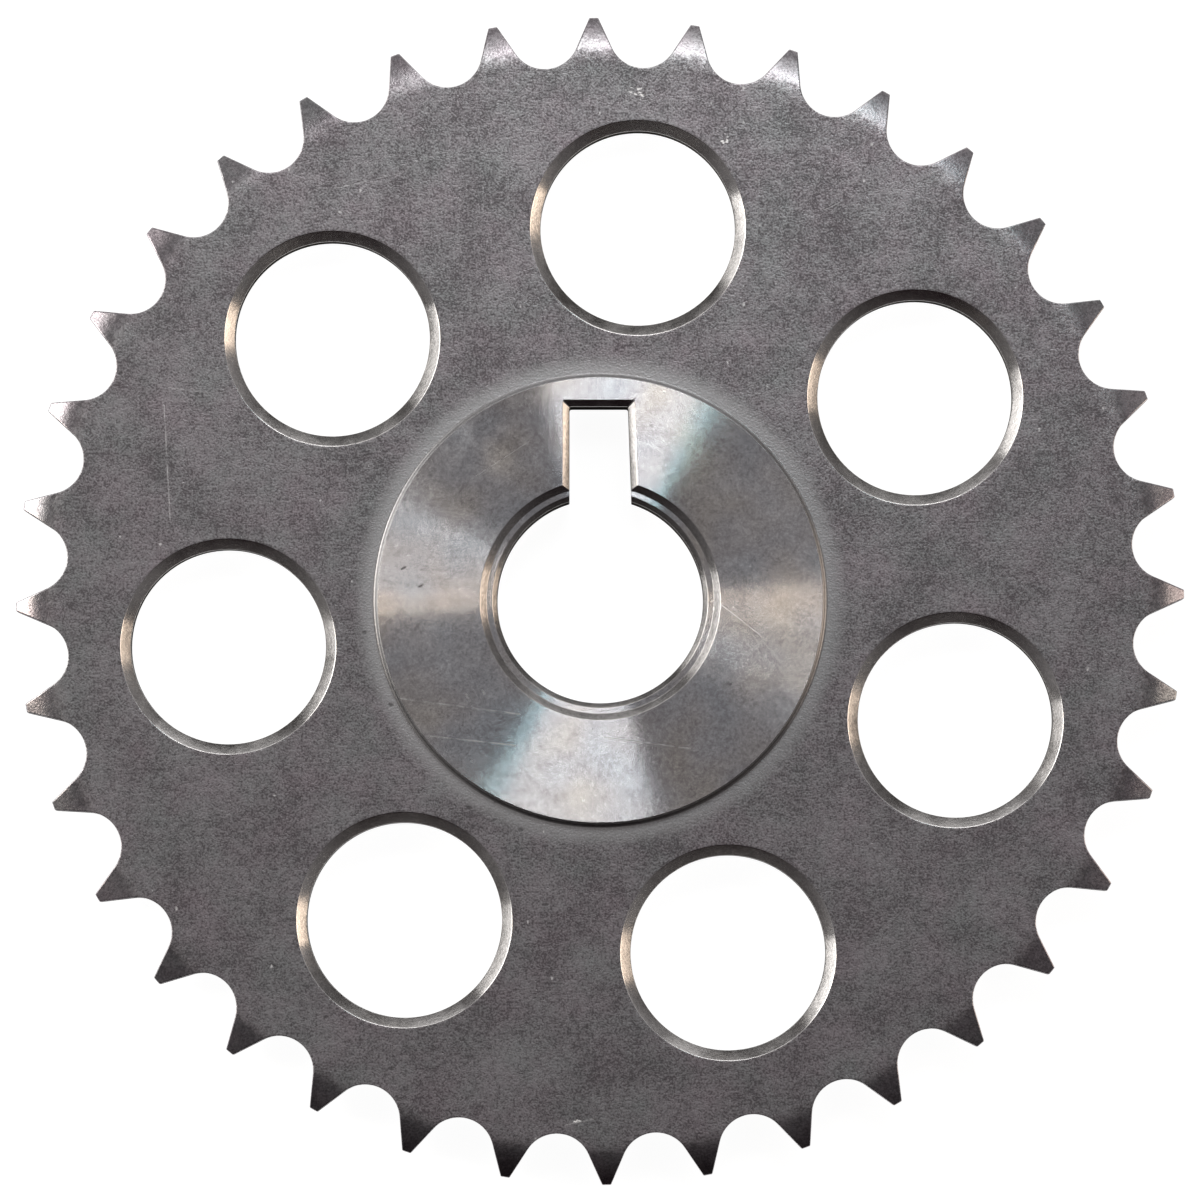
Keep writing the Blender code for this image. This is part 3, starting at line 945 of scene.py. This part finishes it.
# Scratches on the hub's face: start, end and width
HUB_SCRATCHES = [
    ((-19.2 * MM, -9.5 * MM, 0.0), (-7.8 * MM, -11.0 * MM, 0.0), 0.12 * MM),
    ((-16.3 * MM, -13.1 * MM, 0.0), (-8.2 * MM, -14.0 * MM, 0.0), 0.1 * MM),
    ((0.4 * MM, -13.2 * MM, 0.0), (8.6 * MM, -14.3 * MM, 0.0), 0.06 * MM),
    ((10.9 * MM, 0.1 * MM, 0.0), (15.4 * MM, -3.4 * MM, 0.0), 0.025 * MM),
    ((-6.9 * MM, 15.2 * MM, 0.0), (-12.4 * MM, 11.6 * MM, 0.0), 0.03 * MM),
    ((-12.9 * MM, -9.1 * MM, 0.0), (-12.55 * MM, -9.7 * MM, 0.0), 0.16 * MM),
    ((-11.35 * MM, -8.7 * MM, 0.0), (-11.15 * MM, -9.0 * MM, 0.0), 0.12 * MM),
]

# Dings in the hub's face: start, end and width
HUB_DINGS = [
    ((-19.1 * MM, 2.95 * MM, 0.0), (-18.6 * MM, 3.2 * MM, 0.0), 0.16 * MM),
    ((-17.2 * MM, 2.95 * MM, 0.0), (-16.7 * MM, 3.25 * MM, 0.0), 0.16 * MM),
    ((-17.5 * MM, 1.25 * MM, 0.0), (-17.0 * MM, 1.45 * MM, 0.0), 0.14 * MM),
    ((-19.9 * MM, 4.3 * MM, 0.0), (-19.5 * MM, 4.6 * MM, 0.0), 0.12 * MM),
    ((-16.2 * MM, 4.6 * MM, 0.0), (-15.7 * MM, 4.5 * MM, 0.0), 0.1 * MM),
]

# Nicks struck into the plate: centre and reach
PLATE_NICKS = [
    ((3.5 * MM, 48.8 * MM, 0.0), 1.4 * MM),
    ((11.95 * MM, 44.3 * MM, 0.0), 0.8 * MM),
    ((-18.5 * MM, 31.6 * MM, 0.0), 0.9 * MM),
    ((-2.2 * MM, -50.2 * MM, 0.0), 0.6 * MM),
]

# Scratches on the plate: start, end and width
PLATE_SCRATCHES = [
    ((-3.4 * MM, -50.5 * MM, 0.0), (-0.6 * MM, -49.9 * MM, 0.0), 0.08 * MM),
    ((-42.0 * MM, 18.8 * MM, 0.0), (-41.4 * MM, 7.7 * MM, 0.0), 0.1 * MM),
    ((-41.6 * MM, 20.5 * MM, 0.0), (-37.9 * MM, 20.0 * MM, 0.0), 0.07 * MM),
    ((-33.0 * MM, -13.8 * MM, 0.0), (-29.4 * MM, -11.9 * MM, 0.0), 0.06 * MM),
    ((21.6 * MM, 37.6 * MM, 0.0), (24.4 * MM, 39.0 * MM, 0.0), 0.06 * MM),
    ((-26.4 * MM, 39.5 * MM, 0.0), (-18.2 * MM, 41.4 * MM, 0.0), 0.06 * MM),
]

# How steeply the grooves' sides lean, as a slope
RING_LEAN = 0.33

# Patches of dull film on the hub's face: centre, reach and how much of the metal they hide
HUB_FILMS = [
    ((-12.2 * MM, 16.2 * MM, 0.0), 7.0 * MM, 0.3),
    ((-8.2 * MM, 13.2 * MM, 0.0), 4.5 * MM, 0.25),
    ((15.4 * MM, 9.6 * MM, 0.0), 6.5 * MM, 0.12),
    ((-15.0 * MM, -7.0 * MM, 0.0), 4.5 * MM, 0.1),
    ((9.5 * MM, -14.5 * MM, 0.0), 5.0 * MM, 0.06),
]

# Where the smoother sides of the teeth begin, from none to full
TOOTH_SHEEN_START = 52.6 * MM
TOOTH_SHEEN_FULL = 53.7 * MM

# Where the painted highlight in the ring round the hub ends, from full to none
SHEEN_PAINT_INNER = HUB_RADIUS + 0.3 * MM
SHEEN_PAINT_OUTER = HUB_RADIUS + 2.6 * MM

marks = tumbled_marks()
specks = scattered_specks()
rings = turning_rings()
film = dull_film()
nicks = nick_cluster()
scratch = single_scratch()
FINISHES = {
    "tumbled_plate": tumbled_steel("tumbled_plate", marks, specks, nicks, scratch),
    "turned_face": turned_steel("turned_face", marks, specks, rings, film, scratch),
    "turned_foot": cut_steel("turned_foot", (0.27, 0.265, 0.265), 0.38, marks),
    "cut_bevel": cut_steel("cut_bevel", (0.6, 0.58, 0.565), 0.17, marks),
    "bored_bevel": cut_steel("bored_bevel", (0.42, 0.405, 0.395), 0.18, marks),
    "cut_wall": cut_steel("cut_wall", (0.1, 0.095, 0.09), 0.6, marks, metal=0.0),
}


# A face this level is flat, and one less level than this stands upright
LEVEL = 0.999
UPRIGHT = 0.05

# The ledge in the bore's mouth lies within this of the bore's wall
LEDGE_REACH = 1.5 * MM


def finish_of(face):
    """Which finish a face of the sprocket has, by its place and the way it faces."""
    centre = face.center
    radius = math.hypot(centre.x, centre.y)
    height = abs(centre.z - HALF_HUB)
    level = abs(face.normal.z)
    if level > LEVEL and height > HALF_HUB - WELD:
        return "turned_face"
    if level > LEVEL and radius < BORE_RADIUS + LEDGE_REACH:
        return "turned_face"
    if level < UPRIGHT:
        return "cut_wall"
    if radius < HUB_SEAM:
        return "bored_bevel"
    if radius < FOOT_SEAM and height > HALF_PLATE + WELD:
        return "turned_foot"
    if radius > RIM_SEAM or level > LEVEL:
        return "tumbled_plate"
    return "cut_bevel"


def dress(piece):
    """Gives every face its finish."""
    piece.data.materials.clear()
    for material in FINISHES.values():
        piece.data.materials.append(material)
    slots = {name: number for number, name in enumerate(FINISHES)}
    for face in piece.data.polygons:
        face.material_index = slots[finish_of(face)]


dress(steel)
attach(steel, "root")
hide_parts("sprocket")


# The table: its width, how far it lies under the hub, and how brightly the camera sees it
TABLE_WIDTH = 6.0
TABLE_DROP = 0.02 * MM
TABLE_GREY = (0.2, 0.2, 0.2, 1.0)
TABLE_GLOW = 0.95


def white_table():
    """A wide white table that the sprocket lies on."""
    bpy.ops.object.select_all(action="DESELECT")
    bpy.ops.mesh.primitive_plane_add(size=TABLE_WIDTH, location=(0.0, 0.0, -TABLE_DROP))
    table = bpy.context.object
    table.name = "white_table"
    bpy.ops.object.transform_apply(location=True)
    material = bpy.data.materials.new("white_table")
    material.use_nodes = True
    tree = material.node_tree
    shader = tree.nodes["Principled BSDF"]
    shader.inputs["Base Color"].default_value = TABLE_GREY
    shader.inputs["Roughness"].default_value = 0.9
    shader.inputs["Specular IOR Level"].default_value = 0.0
    shader.inputs["Emission Color"].default_value = (1.0, 1.0, 1.0, 1.0)
    rays = add_node(tree, "ShaderNodeLightPath").outputs
    seen = maths(tree, "ADD", rays["Is Camera Ray"], rays["Is Glossy Ray"])
    seen = maths(tree, "ADD", seen, rays["Is Transmission Ray"])
    tree.links.new(maths(tree, "MULTIPLY", seen, TABLE_GLOW), shader.inputs["Emission Strength"])
    table.data.materials.append(material)


def aim(azimuth, off_zenith):
    """Direction at an angle round from +X and an angle down from straight up, in degrees."""
    around = math.radians(azimuth)
    down = math.radians(off_zenith)
    return Vector((math.cos(around) * math.sin(down), math.sin(around) * math.sin(down), math.cos(down)))


def soft_box(name, azimuth, half_spread, top, bottom, brightness, colour):
    """A rectangular studio lamp that faces the sprocket, its place and size given as angles.

    Azimuth runs round from +X, and top and bottom are measured down from straight up, in degrees.
    """
    middle = (top + bottom) / 2
    width = 2 * LAMP_DISTANCE * math.sin(math.radians(middle)) * math.tan(math.radians(half_spread))
    height = 2 * LAMP_DISTANCE * math.tan(math.radians((bottom - top) / 2))
    data = bpy.data.lights.new(name, "AREA")
    data.shape = "RECTANGLE"
    data.size = width
    data.size_y = height
    data.energy = brightness * math.pi * width * height
    data.color = colour
    lamp = bpy.data.objects.new(name, data)
    towards = aim(azimuth, middle)
    lamp.location = towards * LAMP_DISTANCE
    lamp.rotation_euler = towards.to_track_quat("Z", "Y").to_euler()
    lamp.visible_camera = False
    bpy.context.scene.collection.objects.link(lamp)


# Lamp colours
DAYLIGHT = (0.985, 0.99, 1.0)
CYAN = (0.56, 0.94, 1.0)
SOFT_WHITE = (1.0, 0.98, 0.95)
WARM_WHITE = (1.0, 0.88, 0.74)

# The room's darkest and brightest walls
ROOM_DARK = (0.014, 0.008, 0.01, 1.0)
ROOM_BRIGHT = (0.45, 0.44, 0.45, 1.0)


def studio():
    """Soft boxes behind and to the left, a warm strip to the right, and a room darkest in front."""
    for top, bottom, brightness in ((21.5, 27, 8.0), (27, 34, 5.2), (34, 41, 2.1), (41, 52, 0.9)):
        soft_box(f"back_box_{top}", 84, 19, top, bottom, brightness, DAYLIGHT)
        soft_box(f"back_box_cyan_{top}", 62.5, 2.5, top, bottom, brightness * 0.65, CYAN)
    soft_box("back_horizon", 90, 38, 68, 89, 0.9, (1.0, 1.0, 1.0))
    for top, bottom, brightness in ((42, 50, 6.6), (50, 66, 9.5)):
        soft_box(f"left_box_{top}", 163.9, 11.9, top, bottom, brightness, SOFT_WHITE)
        soft_box(f"left_box_edge_{top}", 148, 4, top, bottom, brightness * 0.3, SOFT_WHITE)
        soft_box(f"left_box_warm_{top}", 179, 3.3, top, bottom, brightness * 1.2, WARM_WHITE)
    soft_box("left_horizon", 166, 26, 66, 89, 2.7, (1.0, 0.99, 0.97))
    soft_box("right_strip_low", -1.5, 13, 66, 89, 3.0, (1.0, 0.8, 0.62))
    soft_box("right_strip_high", 0, 6, 40, 66, 2.6, (1.0, 0.86, 0.74))
    world = bpy.data.worlds.new("studio_room")
    bpy.context.scene.world = world
    world.use_nodes = True
    tree = world.node_tree
    towards = add_node(tree, "ShaderNodeTexCoord").outputs["Generated"]
    parts = add_node(tree, "ShaderNodeSeparateXYZ", {"Vector": towards})
    aside = maths(tree, "ABSOLUTE", parts.outputs["X"])
    backwards = maths(tree, "MULTIPLY_ADD", aside, 0.8, parts.outputs["Y"])
    level = spread(tree, backwards, -0.75, 1.2, 0.0, 1.0, smooth=True)
    room = blend(tree, level, ROOM_DARK, ROOM_BRIGHT)
    tree.links.new(room, tree.nodes["Background"].inputs["Color"])


def camera():
    """Almost straight down on the front, through a long lens."""
    data = bpy.data.cameras.new("camera")
    data.lens = LENS
    data.sensor_width = SENSOR_WIDTH
    data.clip_start = 0.01
    data.clip_end = 20.0
    viewer = bpy.data.objects.new("camera", data)
    distance = FRAME_WIDTH * data.lens / data.sensor_width
    lean = math.radians(CAMERA_LEAN)
    towards = Vector((0.0, -math.sin(lean), math.cos(lean)))
    viewer.location = Vector(FRAME_CENTRE) + towards * distance
    viewer.rotation_euler = (lean, 0.0, 0.0)
    bpy.context.scene.collection.objects.link(viewer)
    bpy.context.scene.camera = viewer


# The lens and its sensor, in millimetres
LENS = 400.0
SENSOR_WIDTH = 36.0

# What the 1200 x 1200 frame takes in, at the plate's front
PIXELS = 1200
PIXELS_PER_MM = 10.39
FRAME_WIDTH = PIXELS / PIXELS_PER_MM * MM
FRAME_CENTRE = (-0.02 * MM, 0.02 * MM, HALF_HUB + HALF_PLATE)

# How far the camera leans towards the front, in degrees
CAMERA_LEAN = 1.8

# How far off the lamps stand
LAMP_DISTANCE = 0.44

white_table()
studio()
camera()
bpy.context.scene.view_settings.view_transform = "Standard"
